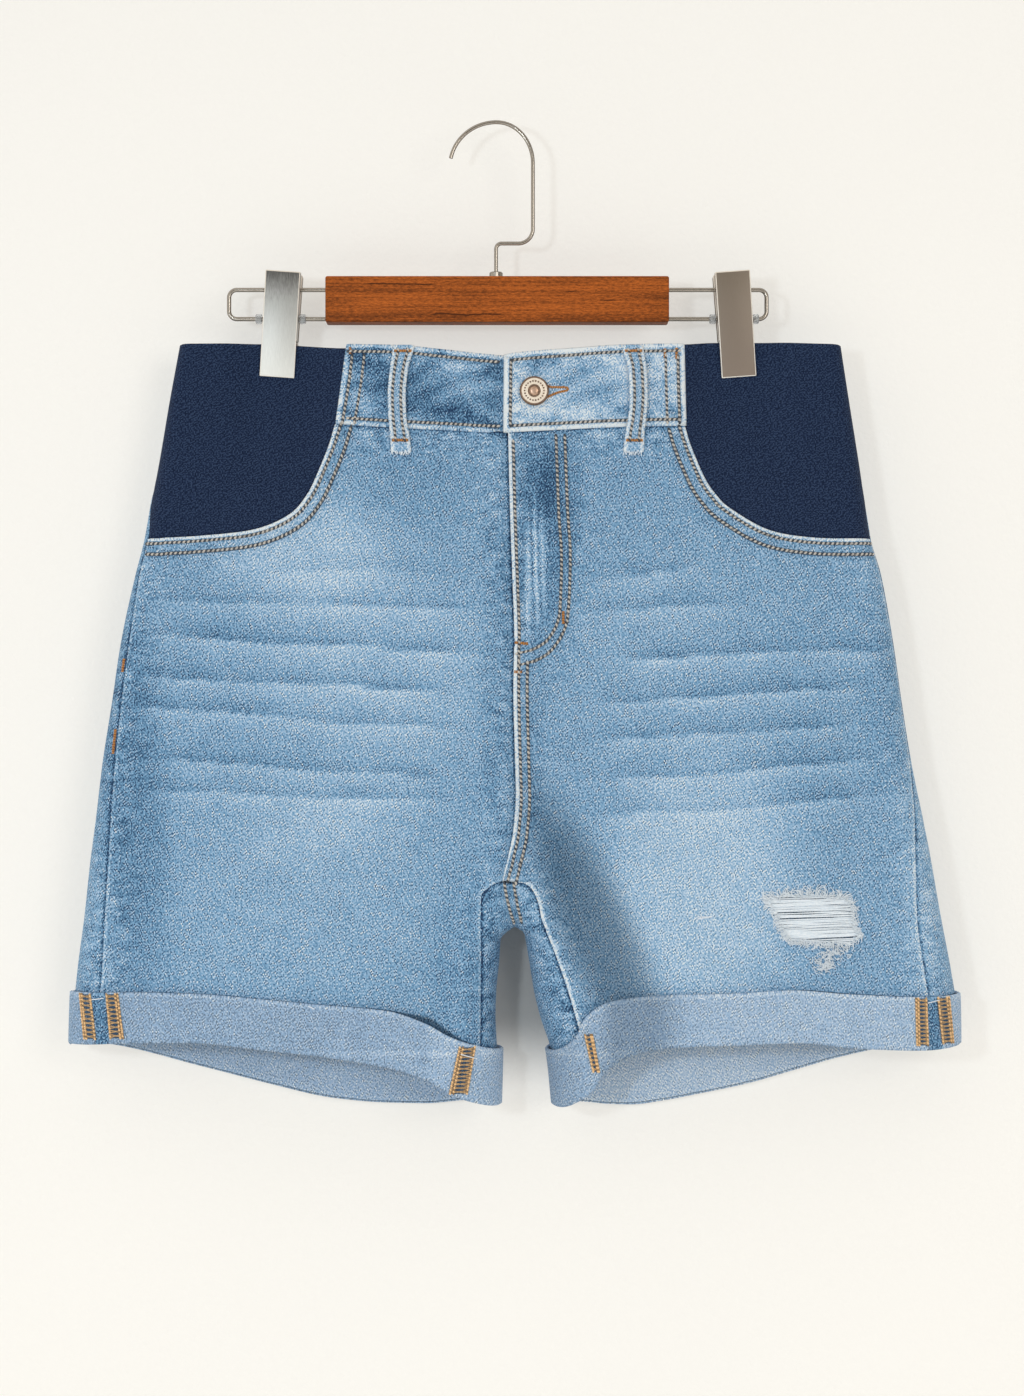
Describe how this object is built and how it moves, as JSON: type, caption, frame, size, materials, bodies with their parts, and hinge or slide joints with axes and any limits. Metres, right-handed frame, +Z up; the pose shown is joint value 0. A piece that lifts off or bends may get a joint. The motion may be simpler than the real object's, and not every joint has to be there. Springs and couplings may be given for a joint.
{
  "type": "denim shorts on a clip hanger",
  "caption": "Light-blue denim shorts with navy knit side panels, button fly and rolled cuffs, hung by the waist from a wooden-bar clip hanger.",
  "frame": {"origin": "inside top of the hanger's hook, where it rests on a rod", "axes": "+Z up, -Y out of the garment's front, +X towards the wearer's left"},
  "size_m": [0.5203, 0.0554, 0.5776],
  "materials": {
    "denim": "washed twill",
    "denim_wrong_side": "pale twill",
    "navy_knit": "ribbed knit",
    "button_metal": "satin",
    "bar_wood": "satin varnish",
    "steel": "brushed",
    "clear_plastic": "clear"
  },
  "bodies": {
    "root": {"back_left": "denim", "back_right": "denim", "bar": "bar_wood", "belt_loop_left": "denim", "belt_loop_right": "denim", "button": "button_metal", "clip_left_back": "steel", "clip_left_front": "steel", "clip_right_back": "steel", "clip_right_front": "steel", "cuff_left": "denim_wrong_side", "cuff_right": "denim_wrong_side", "ferrule": "steel", "frame_wire_left": "steel", "frame_wire_right": "steel", "front_left": "denim", "front_right": "denim", "hook": "steel", "side_panel_left": "navy_knit", "side_panel_right": "navy_knit", "stopper_1": "clear_plastic", "stopper_2": "clear_plastic", "stopper_3": "clear_plastic", "stopper_4": "clear_plastic", "waistband_back": "denim", "waistband_left": "denim", "waistband_right": "denim"}
  },
  "joints": []
}
